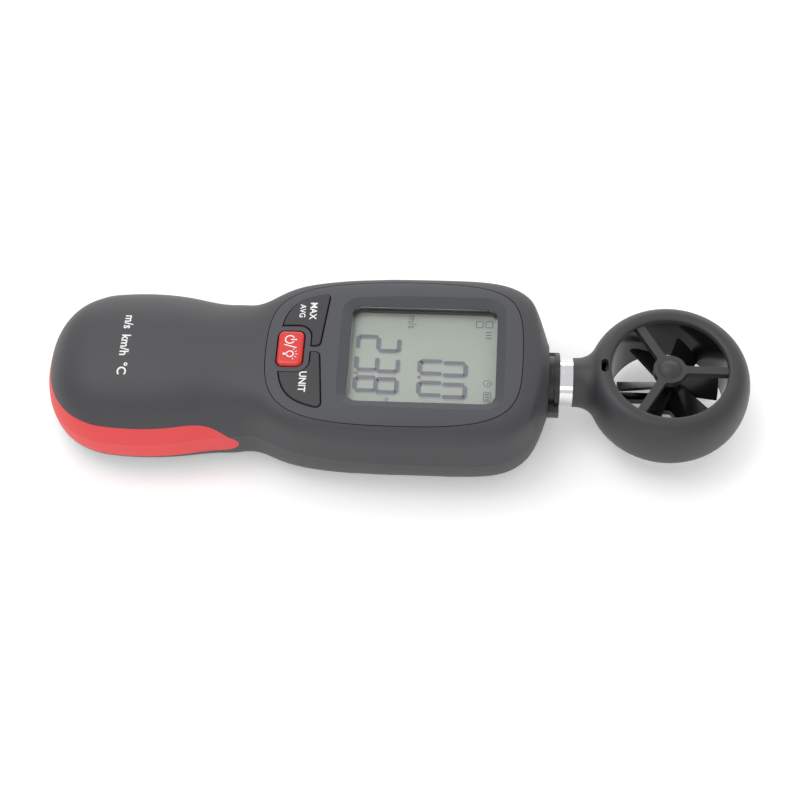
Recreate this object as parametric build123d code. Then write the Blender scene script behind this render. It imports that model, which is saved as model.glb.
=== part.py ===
from build123d import *
import os
from math import cos, pi, radians, sin, sqrt

# Vane anemometer: a handheld meter body and, on a swivel at its end, a round head
# with a free-running impeller. All sizes are millimetres. The model is drawn lying on
# its back about the swivel axis: x = 0 is the collar's end face, the body is at -x, the
# head at +x, z = 0 is the swivel axis and +z comes out of the display. Everything is
# moved at the end so that the origin is under the middle of the whole instrument.

# ---- body: overall sizes
BODY_LENGTH = 130.4
COLLAR_LENGTH = 2.7
COLLAR_RADIUS = 9.1
COLLAR_SINK = 0.12         # how much finer the body has become where it meets the collar
HANDLE_HALF_WIDTH = 22.8
WAIST_HALF_WIDTH = 19.2
DISPLAY_HALF_WIDTH = 26.0
HANDLE_TOP = 11.8
WAIST_TOP = 11.3
DISPLAY_TOP = 12.3
HANDLE_DROP = 5.0          # how far below the swivel axis the handle's tip lies
PARTING_Z = -0.2           # where the front shell and the back cover meet
REST_DEPTH = 12.8          # swivel axis above the flat the meter lies on
BACK_FLAT = 0.6            # how much of the rounded back the flat cuts off
WALL = 2.0

# where the body is widest and narrowest, from the handle's end or the collar's face
HANDLE_X = 26.5 - BODY_LENGTH
WAIST_X = 52.0 - BODY_LENGTH
DISPLAY_X = -33.0
POD_X = -76.5              # where the oval round the display runs out into the waist
BODY_END_X = -COLLAR_LENGTH

# ---- side trim: the soft bumper let into both shells round the handle
TRIM_THICKNESS = 1.0
TRIM_TOP = 4.4
TRIM_BOTTOM = 6.3
TRIM_TIP_X = 50.6 - BODY_LENGTH
TRIM_GAP = 0.04

# ---- faceplate, window and display stack
PLATE_LEFT = -73.4
PLATE_RIGHT = -9.4
PLATE_HALF_WIDTH = 21.6
PLATE_GROOVE = 0.2
PLATE_FLOOR_Z = 9.4
FLOOR_THICKNESS = 1.8
WINDOW_LEFT = -52.6
WINDOW_RIGHT = -15.9
WINDOW_HALF_WIDTH = 14.3
WINDOW_CORNER = 2.6
WINDOW_TOP_Z = 10.6
WINDOW_FLANGE = 1.1
WINDOW_FLANGE_THICKNESS = 0.8
DISH_SIDE = 3.4
DISH_END = 4.0
DISH_CORNER = 5.0
SNUG = 0.05
GLASS_THICKNESS = 2.2
GLASS_MARGIN = 2.0
BACKLIGHT_THICKNESS = 2.4
BOARD_THICKNESS = 1.6
BOARD_MARGIN = 3.0
BOARD_HALF_WIDTH = 19.6
BOARD_SCREW_INSET = 2.3
BOARD_SCREW_BITE = 3.0

# ---- keys
KEY_TRAVEL = 0.5
KEY_GAP = 0.3
KEY_RAISE = 0.35
POWER_RAISE = 0.6
POWER_LENGTH = 6.5         # along the body
POWER_WIDTH = 10.5
POWER_X = PLATE_LEFT + 6.1
POWER_CORNER = 1.6
POWER_EDGE = 0.9           # how far the power key's top edge is rounded
KEY_EDGE = 0.3
KEY_BORDER = 3.3
KEY_EDGE_X = PLATE_LEFT + 13.3
KEY_SPLAY = 0.095          # the big keys' straight edges lean away from each other
KEY_CORNER = 1.1
KEY_MOAT = 1.9             # ridge left round the power key
KEY_SPLIT = 1.0            # half of the gap between the two big keys
KEY_FLANGE = 0.7
FLANGE_THICKNESS = 0.8
SWITCH_SIZE = 4.5
SWITCH_HEIGHT = 2.4
PLUNGER_RADIUS = 1.2
PLUNGER_HEIGHT = 1.0

# ---- batteries
CELL_RADIUS = 5.2
CELL_LENGTH = 44.0
CELL_COUNT = 2
CELL_GAP = 0.6
CELL_PITCH = 2 * CELL_RADIUS + CELL_GAP
CELL_NUB = 0.9
BAY_LEFT = 14.0 - BODY_LENGTH
SPRING_LENGTH = 3.6
CONTACT_THICKNESS = 0.4
BAY_GAP = 0.4
TRAY_WALL = 1.0
DOOR_THICKNESS = 1.8
DOOR_LEDGE = 1.6
DOOR_GAP = 0.15

# ---- screws
POST_RADIUS = 2.7
POST_TO_WALL = 2.3
SCREW_RADIUS = 1.1
SCREW_HEAD_RADIUS = 2.0
SCREW_HEAD_HEIGHT = 1.4
SCREW_LENGTH = 12.0
SCREW_GAP = 0.2
THREAD_GAP = 0.02
SCREW_DEPTH = 5.0          # how far each head is let into the back

# ---- swivel between the body and the head
SWIVEL_GAP = 3.35
SPINDLE_RADIUS = 3.6
SPINDLE_BORE = 2.2
RUNNING_GAP = 0.05
BUSH_RADIUS = 6.4
BUSH_LENGTH = 9.0
SLEEVE_RADIUS = 5.9
FACE_GAP = 0.15
O_RING_WIRE = 0.6
STOP_ANGLE = 135.0         # swivel each way from rest
LUG_HALF_ANGLE = 12.0
STOP_RADIUS = 6.0
COLLAR_RING_LENGTH = 2.0
CLIP_THICKNESS = 0.8

# ---- head
NECK_RADIUS = 6.25
NECK_FILLET = 5.0
NECK_BLOCK = 5.4           # solid part of the neck that grips the spindle
BORE_RADIUS = 14.5
NECK_TO_BORE = 9.4
HEAD_REACH = BORE_RADIUS + NECK_TO_BORE    # neck face to the middle of the bore
RING_WIDTH = 6.0
RING_RADIUS = BORE_RADIUS + RING_WIDTH
RING_TOP = 8.2
HEAD_WALL = 1.6
DUCT_WALL = 1.3
SPOKE_WIDTH = 2.15
SPOKE_THICKNESS = 1.9
SPOKE_DROP = 0.9           # spider's face below the rim
SPOKE_SEAT = 0.7           # how far a spoke runs into its notch
HUB_RADIUS = 4.1
CAP_RADIUS = 3.4
BEARING_RADIUS = 1.7
SHAFT_RADIUS = 0.75
VENT_X = 11.1
VENT_LENGTH = 3.8
VENT_WIDTH = 1.8

# ---- impeller
BLADE_COUNT = 6
BLADE_GAP = 1.8
BLADE_TIP_RADIUS = BORE_RADIUS - BLADE_GAP
BLADE_ROOT_CHORD = 5.2
BLADE_TIP_CHORD = 8.6
BLADE_THICKNESS = 0.7
BLADE_PITCH = 44.0
IMPELLER_HUB_RADIUS = 2.9
IMPELLER_HUB_HALF = 2.9
BLADE_START = 4.0

HEAD_X = SWIVEL_GAP + HEAD_REACH
FULL_LENGTH = BODY_LENGTH + HEAD_X + RING_RADIUS
ORIGIN_X = BODY_LENGTH - FULL_LENGTH / 2


def save(name, shape):
    """Move a finished piece to the instrument's own origin and write it."""
    export_step(Pos(ORIGIN_X, 0, REST_DEPTH) * shape, f"parts/{name}.step")


def one(shapes):
    """The single solid, or the group of separate solids, in a boolean's result."""
    solids = shapes.solids()
    return solids[0] if len(solids) == 1 else Compound(children=list(solids))


def slab(x_low, x_high, y_low, y_high, z_low, z_high):
    size = (x_high - x_low, y_high - y_low, z_high - z_low)
    return Pos((x_low + x_high) / 2, (y_low + y_high) / 2, (z_low + z_high) / 2) * Box(*size)


def rod(x, y, z_low, z_high, radius):
    """A round bar standing along z."""
    return Pos(x, y, (z_low + z_high) / 2) * Cylinder(radius, z_high - z_low)


def axle(x_low, x_high, radius):
    """A round bar along the swivel axis."""
    return Pos((x_low + x_high) / 2, 0, 0) * Rot(0, 90, 0) * Cylinder(radius, x_high - x_low)


def prism(sketch, z_low, z_high):
    return extrude(Pos(0, 0, z_low) * sketch, amount=z_high - z_low)


def rounded(x_low, x_high, y_low, y_high, corner):
    middle = Pos((x_low + x_high) / 2, (y_low + y_high) / 2)
    return middle * RectangleRounded(x_high - x_low, y_high - y_low, corner)


UPPER = slab(-2 * BODY_LENGTH, BODY_LENGTH, -BODY_LENGTH, BODY_LENGTH, 0, BODY_LENGTH)
LOWER = slab(-2 * BODY_LENGTH, BODY_LENGTH, -BODY_LENGTH, BODY_LENGTH, -BODY_LENGTH, 0)
ABOVE_REST = slab(-2 * BODY_LENGTH, BODY_LENGTH, -BODY_LENGTH, BODY_LENGTH, -REST_DEPTH, BODY_LENGTH)


# ---- the body's outer form

ROUND = 0.5523             # handle length of the cubic curve nearest to a quarter circle


def ease(share):
    return (1 - cos(pi * share)) / 2


def mix(start, end, share):
    return start + (end - start) * share


def part_way(x, start, end):
    return min(max((x - start) / (end - start), 0.0), 1.0)


def half_width(x, inset=0.0):
    """Half of the body's width at x: full round ends, a waist between two swellings."""
    if x < HANDLE_X:
        share = (HANDLE_X - x) / (HANDLE_X + BODY_LENGTH - inset)
        return (HANDLE_HALF_WIDTH - inset) * sqrt(1 - share**3)
    if x < WAIST_X:
        share = ease(part_way(x, HANDLE_X, WAIST_X))
        return mix(HANDLE_HALF_WIDTH, WAIST_HALF_WIDTH, share) - inset
    if x < DISPLAY_X:
        waist = WAIST_HALF_WIDTH * (1 - ease(part_way(x, WAIST_X, DISPLAY_X)))
        share = part_way(-x, -DISPLAY_X, -POD_X)
        pod = DISPLAY_HALF_WIDTH * (1 - share**2.6)**(1 / 5.5)
        return (waist**12 + pod**12)**(1 / 12) - inset
    share = (x - DISPLAY_X) / (BODY_END_X - inset - DISPLAY_X)
    return (DISPLAY_HALF_WIDTH - inset) * (1 - share**4.5)**(1 / 2.4)


def end_round(distance, reach):
    """Share of the full height at a distance in from an end that is rounded over reach."""
    return 1.0 if distance >= reach else (1 - (1 - distance / reach)**3)**(1 / 2.3)


def crown(x):
    """Height of the body's top along its middle, before its ends are rounded off."""
    height = mix(HANDLE_TOP, WAIST_TOP, ease(part_way(x, HANDLE_X, WAIST_X)))
    return height + (DISPLAY_TOP - WAIST_TOP) * ease(part_way(x, WAIST_X, DISPLAY_X))


def into_collar(size, x, inset):
    """Half a size of the body, run out at the body's end into the round collar."""
    collar = (COLLAR_RADIUS - COLLAR_SINK - inset) * ease(part_way(x, BODY_END_X - inset - 9, BODY_END_X - inset - 2))
    return (size**4 + collar**4)**0.25


def section(x, inset=0.0):
    """The body's outline across x: four curves, squarer at the display than at the handle."""
    w = into_collar(half_width(x, inset), x, inset)
    tip = end_round(x + BODY_LENGTH - inset, 17)
    low = -HANDLE_DROP * (1 - tip)
    end = BODY_END_X - inset - x
    top = into_collar((crown(x) - inset) * tip * end_round(end, 9), x, inset)
    back = into_collar((REST_DEPTH + BACK_FLAT - inset) * tip * end_round(end, 13), x, inset)
    square = ease(part_way(x, WAIST_X - 9, WAIST_X + 14))
    rise, reach, lean = mix(0.7, 0.98, square), mix(0.62, 1.08, square), mix(0.88, 0.9, square)
    fall = mix(0.82, 0.92, ease(part_way(x, HANDLE_X, WAIST_X)))
    fall += (0.8 - 0.92) * ease(part_way(x, WAIST_X, DISPLAY_X))
    turned = ease(part_way(-end, -5, -0.3))
    rise, reach, fall = (mix(value, ROUND, turned) for value in (rise, reach, fall))
    lean = mix(lean, 1.0, turned)

    def curve(*places):
        return Edge.make_bezier(*[Vector(x, y, z + low) for y, z in places])

    return Wire([
        curve((w, 0), (lean * w, rise * top), (reach * w, top), (0, top)),
        curve((0, top), (-reach * w, top), (-lean * w, rise * top), (-w, 0)),
        curve((-w, 0), (-w, -fall * back), (-fall * w, -back), (0, -back)),
        curve((0, -back), (fall * w, -back), (w, -fall * back), (w, 0)),
    ])


def hull(inset=0.0):
    """The body's outer form, or the same form drawn in by inset all round."""
    left, right = inset - BODY_LENGTH, BODY_END_X - inset
    places = [left + d for d in (0.12, 0.6, 1.6, 3.2, 5.5, 8.5, 12.5, 17.5, 22.5)]
    steps = 12
    places += [mix(HANDLE_X, DISPLAY_X, step / steps) for step in range(steps + 1)]
    places += [right - d for d in (22, 15, 10, 7, 4.8, 3.2, 2.0, 1.2, 0.6, 0.25, 0.05)]
    return Solid.make_loft([section(x, inset) for x in places])


HULL = hull()
CAVITY = hull(WALL)
BEHIND_TRIM = hull(TRIM_THICKNESS)
COLLAR = axle(BODY_END_X - WALL, 0, COLLAR_RADIUS)


def trim_side(grow=0.0):
    """The trim seen from the side: a band along the handle with a rounded nose."""
    top, bottom, tip = TRIM_TOP + grow, -TRIM_BOTTOM - grow, TRIM_TIP_X + grow
    start = -BODY_LENGTH - WALL
    with BuildLine(Plane.XZ) as line:
        Polyline((tip - 14, top), (start, top), (start, bottom), (tip - 5, bottom))
        Bezier((tip - 5, bottom), (tip + 0.3, bottom), (tip + 1.2, bottom + 3), (tip - 1.6, bottom + 5.6))
        Bezier((tip - 1.6, bottom + 5.6), (tip - 4.6, bottom + 8.4), (tip - 7, top), (tip - 14, top))
    face = make_face(line.line)
    return extrude(face, amount=2 * HANDLE_HALF_WIDTH, both=True)


def side_trim():
    return one((HULL & trim_side()) - BEHIND_TRIM)


TRIM_POCKET = (hull(-0.5) & trim_side(TRIM_GAP)) - hull(TRIM_THICKNESS + TRIM_GAP)


# ---- faceplate outline and keys

def plate_outline(grow=0.0):
    """The faceplate's outline: a broad oval, blunter at the collar end."""
    left, right, half = PLATE_LEFT - grow, PLATE_RIGHT + grow, PLATE_HALF_WIDTH + grow
    middle = (PLATE_LEFT + PLATE_RIGHT) / 2
    swell = middle + 4.0
    with BuildLine() as line:
        for side in (1, -1):
            Bezier((left, 0), (left, side * 16.0), (left + 3.2, side * half), (swell, side * half))
            Bezier((swell, side * half), (right - 1.0, side * half), (right, side * half * 0.75), (right, 0))
    return make_face(line.line)


def window_outline(grow=0.0):
    return rounded(WINDOW_LEFT - grow, WINDOW_RIGHT + grow, -WINDOW_HALF_WIDTH - grow,
                   WINDOW_HALF_WIDTH + grow, WINDOW_CORNER + grow)


def power_outline(grow=0.0):
    half_length, half = POWER_LENGTH / 2 + grow, POWER_WIDTH / 2 + grow
    return rounded(POWER_X - half_length, POWER_X + half_length, -half, half, POWER_CORNER + grow)


def big_key_outline(side, grow=0.0):
    """A key that follows the faceplate's edge outside and wraps the power key inside."""
    field = plate_outline(grow - KEY_BORDER)
    far = PLATE_HALF_WIDTH * 2
    low, high = sorted((side * (KEY_SPLIT - grow), side * far))
    field &= Pos(0, (low + high) / 2) * Rectangle(far * 20, high - low)
    edge = KEY_EDGE_X + grow
    field &= make_face(Polyline((edge, 0), (edge + KEY_SPLAY * far, side * far),
                                (PLATE_LEFT - far, side * far), (PLATE_LEFT - far, 0), close=True))
    field -= power_outline(KEY_MOAT - grow)
    inner = POWER_X - POWER_LENGTH / 2 + 0.5 - grow
    keep = Pos(inner + far, 0) * Rectangle(2 * far, 4 * far)
    outer = Sketch() + max((field & keep).faces(), key=lambda face: face.area)
    corners = [corner for corner in outer.vertices() if corner.X > edge - 0.5]
    return fillet(corners, KEY_CORNER + grow)


FLOOR_UNDER_Z = PLATE_FLOOR_Z - FLOOR_THICKNESS
KEY_CAP_LOW_Z = PLATE_FLOOR_Z - KEY_TRAVEL - 0.3
KEY_ROOM = prism(plate_outline(-1.2), FLOOR_UNDER_Z - 4, PLATE_FLOOR_Z)
KEY_ROOM &= slab(PLATE_LEFT, KEY_EDGE_X + KEY_SPLAY * PLATE_HALF_WIDTH + KEY_FLANGE + 0.4, -50, 50, 0, 50)


def faceplate():
    plate = HULL & prism(plate_outline(), PLATE_FLOOR_Z, DISPLAY_TOP + 5)
    plate -= prism(window_outline(), 0, DISPLAY_TOP + 5)
    mouth = rounded(WINDOW_LEFT - DISH_END, WINDOW_RIGHT + DISH_END * 0.6,
                    -WINDOW_HALF_WIDTH - DISH_SIDE, WINDOW_HALF_WIDTH + DISH_SIDE, DISH_CORNER)
    plate -= loft([Pos(0, 0, WINDOW_TOP_Z) * window_outline(), Pos(0, 0, DISPLAY_TOP + 0.15) * mouth])
    plate -= prism(power_outline(KEY_GAP), 0, DISPLAY_TOP + 5)
    for side in (1, -1):
        plate -= prism(big_key_outline(side, KEY_GAP), 0, DISPLAY_TOP + 5)
    return one(plate)


def key(cap, flange, edge):
    """A key cap with its top edge rounded and a retaining flange below it."""
    rim = prism(flange, PLATE_FLOOR_Z - KEY_GAP - FLANGE_THICKNESS, PLATE_FLOOR_Z - KEY_GAP)
    high = [side for side in cap.edges() if side.bounding_box().min.Z > PLATE_FLOOR_Z + 0.3]
    return one(cap.fillet(edge, high) + rim)


def power_key():
    """A plain pillow that stands proud of the faceplate."""
    cap = prism(power_outline(), KEY_CAP_LOW_Z, crown(POWER_X) + POWER_RAISE)
    return key(one(cap), power_outline(KEY_FLANGE), POWER_EDGE)


def big_key(side):
    """A key that follows the crown of the faceplate."""
    cap = hull(-KEY_RAISE) & prism(big_key_outline(side), KEY_CAP_LOW_Z, DISPLAY_TOP + 5)
    return key(one(cap), big_key_outline(side, KEY_FLANGE - 0.1), KEY_EDGE)


# ---- display stack and board

WINDOW_BOTTOM_Z = PLATE_FLOOR_Z - WINDOW_FLANGE_THICKNESS
GLASS_TOP_Z = FLOOR_UNDER_Z - SNUG
GLASS_BOTTOM_Z = GLASS_TOP_Z - GLASS_THICKNESS
LIGHT_BOTTOM_Z = GLASS_BOTTOM_Z - BACKLIGHT_THICKNESS
BOARD_TOP_Z = LIGHT_BOTTOM_Z
BOARD_BOTTOM_Z = BOARD_TOP_Z - BOARD_THICKNESS
BOARD_LEFT = PLATE_LEFT + BOARD_MARGIN
BOARD_RIGHT = WINDOW_RIGHT + GLASS_MARGIN + 0.2
SWITCH_TOP_Z = BOARD_TOP_Z + SWITCH_HEIGHT
KEY_FLANGE_Z = PLATE_FLOOR_Z - KEY_GAP - FLANGE_THICKNESS
BIG_KEY_SWITCH_Y = 10.0
SWITCH_PLACES = {"power": (POWER_X, 0.0),
                 "max": (POWER_X + 2.4, BIG_KEY_SWITCH_Y),
                 "unit": (POWER_X + 2.4, -BIG_KEY_SWITCH_Y)}


def plunger(name):
    """The moving button of a tact switch, standing up to the underside of its key."""
    x, y = SWITCH_PLACES[name]
    button = rod(x, y, SWITCH_TOP_Z - PLUNGER_HEIGHT, KEY_FLANGE_Z - SNUG, PLUNGER_RADIUS)
    return one(button)


def key_switches():
    bodies = []
    for x, y in SWITCH_PLACES.values():
        half = SWITCH_SIZE / 2
        body = slab(x - half, x + half, y - half, y + half, BOARD_TOP_Z, SWITCH_TOP_Z)
        well = SWITCH_TOP_Z - PLUNGER_HEIGHT - KEY_TRAVEL - SNUG
        bodies.append(one(body - rod(x, y, well, SWITCH_TOP_Z, PLUNGER_RADIUS + RUNNING_GAP)))
    return Compound(children=bodies)


def board_corners():
    y = BOARD_HALF_WIDTH - BOARD_SCREW_INSET
    ends = (WINDOW_LEFT - GLASS_MARGIN - BOARD_SCREW_INSET, BOARD_RIGHT - BOARD_SCREW_INSET)
    return [(x, side * y) for x in ends for side in (1, -1)]


def main_board():
    board = prism(rounded(BOARD_LEFT, BOARD_RIGHT, -BOARD_HALF_WIDTH, BOARD_HALF_WIDTH, 4.0),
                  BOARD_BOTTOM_Z, BOARD_TOP_Z)
    board &= hull(WALL + 0.4)
    for x, y in board_corners():
        board -= rod(x, y, BOARD_BOTTOM_Z, BOARD_TOP_Z, SCREW_RADIUS + SCREW_GAP)
    for x, y in case_screw_places():
        board -= rod(x, y, BOARD_BOTTOM_Z, BOARD_TOP_Z, POST_RADIUS + SCREW_GAP)
    return one(board)


def glass_outline(grow=0.0):
    return rounded(WINDOW_LEFT - GLASS_MARGIN - grow, WINDOW_RIGHT + GLASS_MARGIN + grow,
                   -WINDOW_HALF_WIDTH - 0.6 - grow, WINDOW_HALF_WIDTH + 0.6 + grow, 0.8)


def backlight():
    return one(prism(rounded(WINDOW_LEFT + 0.4, WINDOW_RIGHT - 0.4, -WINDOW_HALF_WIDTH + 0.4,
                             WINDOW_HALF_WIDTH - 0.4, 0.8), LIGHT_BOTTOM_Z, GLASS_BOTTOM_Z))


def zebra_strips():
    """The two rubber connectors between the glass and the board, beyond the backlight."""
    strips = []
    for x in (WINDOW_LEFT - GLASS_MARGIN + 0.2, WINDOW_RIGHT + 0.4):
        strips.append(slab(x, x + 1.4, -WINDOW_HALF_WIDTH + 1, WINDOW_HALF_WIDTH - 1,
                           BOARD_TOP_Z, GLASS_BOTTOM_Z))
    return Compound(children=strips)


def display_window():
    window = prism(window_outline(-SNUG), WINDOW_BOTTOM_Z, WINDOW_TOP_Z)
    window += prism(window_outline(WINDOW_FLANGE), WINDOW_BOTTOM_Z, PLATE_FLOOR_Z)
    return one(window)


def main_chip():
    middle = (WINDOW_LEFT + WINDOW_RIGHT) / 2
    return one(slab(middle - 5, middle + 5, -5, 5, BOARD_BOTTOM_Z - 1.5, BOARD_BOTTOM_Z))


def board_screws():
    screws = []
    for x, y in board_corners():
        shank = rod(x, y, BOARD_BOTTOM_Z, BOARD_TOP_Z + BOARD_SCREW_BITE, SCREW_RADIUS)
        head = rod(x, y, BOARD_BOTTOM_Z - SCREW_HEAD_HEIGHT, BOARD_BOTTOM_Z, SCREW_HEAD_RADIUS)
        screws.append(one(shank + head))
    return Compound(children=screws)


# ---- case screws

def case_screw_places():
    """Two screws beside the collar, two at the waist and one at the handle's end."""
    places = []
    for x in (BODY_END_X - POST_RADIUS - 4.5, PLATE_LEFT + 3.2):
        y = half_width(x, WALL) - POST_RADIUS - POST_TO_WALL
        places += [(x, y), (x, -y)]
    places.append((BAY_LEFT - POST_RADIUS - TRAY_WALL - 1.4, 0.0))
    return places


HEAD_SEAT_Z = SCREW_DEPTH - REST_DEPTH


def screw_well(x, y):
    """The hole through the back cover for a screw and its head."""
    well = rod(x, y, -REST_DEPTH - 1, HEAD_SEAT_Z, SCREW_HEAD_RADIUS + SCREW_GAP)
    return well + rod(x, y, -REST_DEPTH, POST_JOINT_Z + 0.5, SCREW_RADIUS + SCREW_GAP)


def case_screws():
    screws = []
    for x, y in case_screw_places():
        shank = rod(x, y, HEAD_SEAT_Z, HEAD_SEAT_Z + SCREW_LENGTH, SCREW_RADIUS)
        head = rod(x, y, HEAD_SEAT_Z - SCREW_HEAD_HEIGHT, HEAD_SEAT_Z, SCREW_HEAD_RADIUS)
        slot = slab(x - 1.4, x + 1.4, y - 0.25, y + 0.25, HEAD_SEAT_Z - SCREW_HEAD_HEIGHT,
                    HEAD_SEAT_Z - SCREW_HEAD_HEIGHT + 0.7)
        cross = slab(x - 0.25, x + 0.25, y - 1.4, y + 1.4, HEAD_SEAT_Z - SCREW_HEAD_HEIGHT,
                     HEAD_SEAT_Z - SCREW_HEAD_HEIGHT + 0.7)
        screws.append(one(shank + head - slot - cross))
    return Compound(children=screws)


# ---- shells

CELL_Z = -REST_DEPTH + DOOR_THICKNESS + BAY_GAP + CELL_RADIUS
BAY_RIGHT = BAY_LEFT + CELL_LENGTH + CELL_NUB + SPRING_LENGTH + 2 * CONTACT_THICKNESS
BAY_HALF = CELL_PITCH * (CELL_COUNT - 1) / 2 + CELL_RADIUS + BAY_GAP
BAY_TOP = CELL_Z + CELL_RADIUS + BAY_GAP
POST_JOINT_Z = BAY_TOP + TRAY_WALL      # where the posts of the two shells meet
DOOR_LEFT = BAY_LEFT - DOOR_LEDGE
DOOR_RIGHT = BAY_RIGHT + DOOR_LEDGE + 5.5
DOOR_HALF = BAY_HALF + DOOR_LEDGE
DOOR_SCREW_X = BAY_RIGHT + DOOR_LEDGE + 1.6
DOOR_SCREW_LENGTH = 5.0


def front_shell():
    above = Pos(0, 0, PARTING_Z) * UPPER
    shell = (HULL & above) - CAVITY
    shell += (HULL & prism(plate_outline(1.6), FLOOR_UNDER_Z, DISPLAY_TOP))
    shell += COLLAR & above
    posts = Part()
    for x, y in case_screw_places():
        posts += rod(x, y, POST_JOINT_Z, DISPLAY_TOP, POST_RADIUS)
    for x, y in board_corners():
        posts += rod(x, y, BOARD_TOP_Z, PLATE_FLOOR_Z, SCREW_HEAD_RADIUS)
    shell += posts & HULL
    shell -= prism(plate_outline(PLATE_GROOVE), PLATE_FLOOR_Z, DISPLAY_TOP + 5)
    shell -= KEY_ROOM
    shell -= prism(window_outline(WINDOW_FLANGE + SNUG), WINDOW_BOTTOM_Z, PLATE_FLOOR_Z)
    shell -= prism(window_outline(), FLOOR_UNDER_Z - 1, PLATE_FLOOR_Z)
    shell -= prism(glass_outline(SNUG), BOARD_TOP_Z, FLOOR_UNDER_Z)
    shell -= TRIM_POCKET
    shell -= BUSH_SEAT
    for x, y in case_screw_places():
        shell -= rod(x, y, 0, HEAD_SEAT_Z + SCREW_LENGTH + 0.5, SCREW_RADIUS + THREAD_GAP)
    for x, y in board_corners():
        shell -= rod(x, y, BOARD_TOP_Z, BOARD_TOP_Z + BOARD_SCREW_BITE + 0.3, SCREW_RADIUS + THREAD_GAP)
    return one(shell)


def door_outline(grow=0.0):
    return rounded(DOOR_LEFT - grow, DOOR_RIGHT + grow, -DOOR_HALF - grow, DOOR_HALF + grow, 2.0 + grow)


def battery_door():
    door = HULL & ABOVE_REST & prism(door_outline(), -REST_DEPTH, DOOR_THICKNESS - REST_DEPTH)
    door -= rod(DOOR_SCREW_X, 0, -REST_DEPTH - 1, 1.0 - REST_DEPTH, SCREW_HEAD_RADIUS + SCREW_GAP)
    door -= rod(DOOR_SCREW_X, 0, -REST_DEPTH, 0, SCREW_RADIUS + SCREW_GAP)
    for step in range(5):
        x = DOOR_LEFT + 5 + 1.8 * step
        door -= slab(x, x + 0.8, -6, 6, -REST_DEPTH - 1, 0.5 - REST_DEPTH)
    return one(door)


def door_screw():
    seat = 1.0 - REST_DEPTH
    screw = rod(DOOR_SCREW_X, 0, seat, seat + DOOR_SCREW_LENGTH, SCREW_RADIUS)
    screw += rod(DOOR_SCREW_X, 0, seat - 0.9, seat, SCREW_HEAD_RADIUS)
    screw -= slab(DOOR_SCREW_X - 1.4, DOOR_SCREW_X + 1.4, -0.25, 0.25, seat - 0.9, seat - 0.4)
    return one(screw)


def back_cover():
    below = Pos(0, 0, PARTING_Z) * LOWER
    shell = (HULL & below & ABOVE_REST) - CAVITY
    shell += COLLAR & below
    tray = slab(BAY_LEFT - TRAY_WALL, BAY_RIGHT + TRAY_WALL, -BAY_HALF - TRAY_WALL,
                BAY_HALF + TRAY_WALL, -REST_DEPTH, BAY_TOP + TRAY_WALL)
    tray += prism(door_outline(1.4), -REST_DEPTH, DOOR_THICKNESS + 1.6 - REST_DEPTH)
    tray += rod(DOOR_SCREW_X, 0, -REST_DEPTH, DOOR_SCREW_LENGTH + 2.4 - REST_DEPTH, POST_RADIUS)
    for x, y in case_screw_places():
        tray += rod(x, y, -REST_DEPTH, POST_JOINT_Z, POST_RADIUS)
    shell += tray & HULL & ABOVE_REST & slab(-2 * BODY_LENGTH, 0, -50, 50, -50, POST_JOINT_Z)
    shell -= slab(BAY_LEFT, BAY_RIGHT, -BAY_HALF, BAY_HALF, -REST_DEPTH - 1, BAY_TOP)
    shell -= prism(door_outline(DOOR_GAP), -REST_DEPTH - 1, DOOR_THICKNESS - REST_DEPTH)
    shell -= rod(DOOR_SCREW_X, 0, -REST_DEPTH, DOOR_SCREW_LENGTH + 1.4 - REST_DEPTH,
                 SCREW_RADIUS + THREAD_GAP)
    shell -= TRIM_POCKET
    shell -= BUSH_SEAT
    for x, y in case_screw_places():
        shell -= screw_well(x, y)
    return one(shell)


# ---- batteries and their contacts

def cell_rows():
    return [CELL_PITCH * (row - (CELL_COUNT - 1) / 2) for row in range(CELL_COUNT)]


def battery_cells():
    cells = []
    for row, y in enumerate(cell_rows()):
        nub_left = row % 2
        low = BAY_LEFT + CONTACT_THICKNESS + (CELL_NUB if nub_left else SPRING_LENGTH)
        can = Pos(0, y, CELL_Z) * axle(low, low + CELL_LENGTH, CELL_RADIUS)
        nub_x = low - CELL_NUB if nub_left else low + CELL_LENGTH
        cells.append(one(can + Pos(0, y, CELL_Z) * axle(nub_x, nub_x + CELL_NUB, 1.8)))
    return Compound(children=cells)


def battery_contacts():
    plates = []
    for x in (BAY_LEFT, BAY_RIGHT - CONTACT_THICKNESS):
        for y in cell_rows():
            half = CELL_RADIUS - 0.8
            plates.append(slab(x, x + CONTACT_THICKNESS, y - half, y + half, CELL_Z - half, CELL_Z + half))
    return Compound(children=plates)


def battery_springs():
    """One conical-looking coil for each cell, between its flat end and the contact plate."""
    springs = []
    wire = 0.35
    turns = 3
    for row, y in enumerate(cell_rows()):
        path = Helix(pitch=(SPRING_LENGTH - 2 * wire) / turns, height=SPRING_LENGTH - 2 * wire, radius=3.0)
        coil = sweep(Plane(path @ 0, z_dir=path % 0) * Circle(wire), path, is_frenet=True)
        start = BAY_LEFT + CONTACT_THICKNESS if row % 2 == 0 else BAY_RIGHT - CONTACT_THICKNESS
        turn = 90 if row % 2 == 0 else -90
        inward = wire if row % 2 == 0 else -wire
        springs.append(one(Pos(start + inward, y, CELL_Z) * Rot(0, turn, 0) * coil))
    return Compound(children=springs)


# ---- swivel

BUSH_INNER_X = -BUSH_LENGTH
RING_X = BUSH_INNER_X - FACE_GAP
CLIP_X = RING_X - COLLAR_RING_LENGTH
SPINDLE_LEFT = CLIP_X - CLIP_THICKNESS - 1.0
SPINDLE_RIGHT = SWIVEL_GAP + 5.0
BUSH_SEAT = axle(BUSH_INNER_X, 1.0, BUSH_RADIUS + SNUG) + axle(-1.2, 1.0, BUSH_RADIUS + 0.8)


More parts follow.
